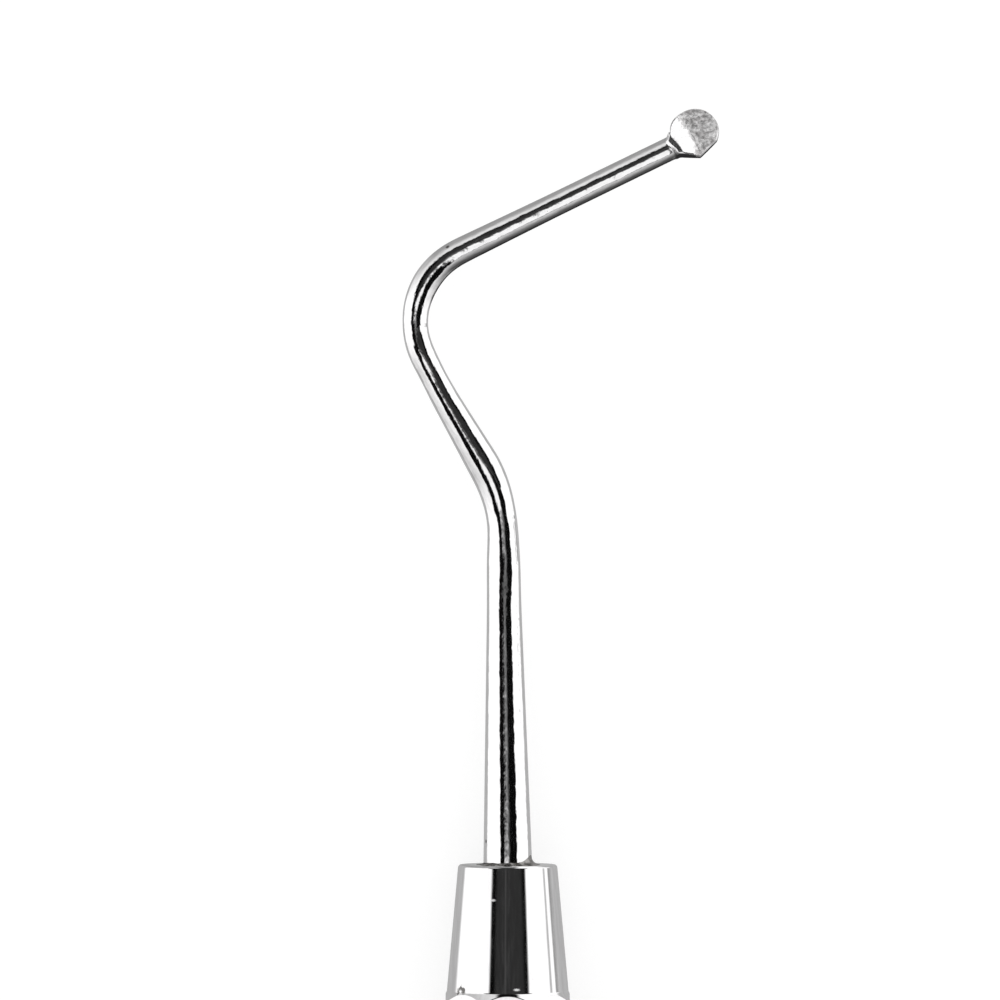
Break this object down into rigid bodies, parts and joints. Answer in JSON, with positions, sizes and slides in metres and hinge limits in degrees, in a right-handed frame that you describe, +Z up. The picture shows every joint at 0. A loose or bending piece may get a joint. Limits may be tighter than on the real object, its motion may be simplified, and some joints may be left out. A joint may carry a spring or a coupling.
{
  "type": "spoon excavator",
  "caption": "Slim dental hand instrument: an octagonal handle with coned noses, and at each end a long bent shank brazed in, ending in a small round spoon.",
  "frame": {"origin": "middle of the handle's underside flat, which the instrument rests on", "axes": "+Y along the handle to the upper working end, +X to the side that its spoon points to, +Z up out of the opposite flat"},
  "size_m": [0.0206, 0.1694, 0.006],
  "materials": {
    "handle_steel": "mirror-polished stainless steel",
    "working_end_steel": "polished stainless steel, with a ground face on the spoon",
    "braze": "silver braze as it ran, a little oxidised"
  },
  "bodies": {
    "root": {"handle": "handle_steel", "upper_working_end": "working_end_steel", "lower_working_end": "working_end_steel", "upper_braze_fillet": "braze", "lower_braze_fillet": "braze"}
  },
  "joints": []
}
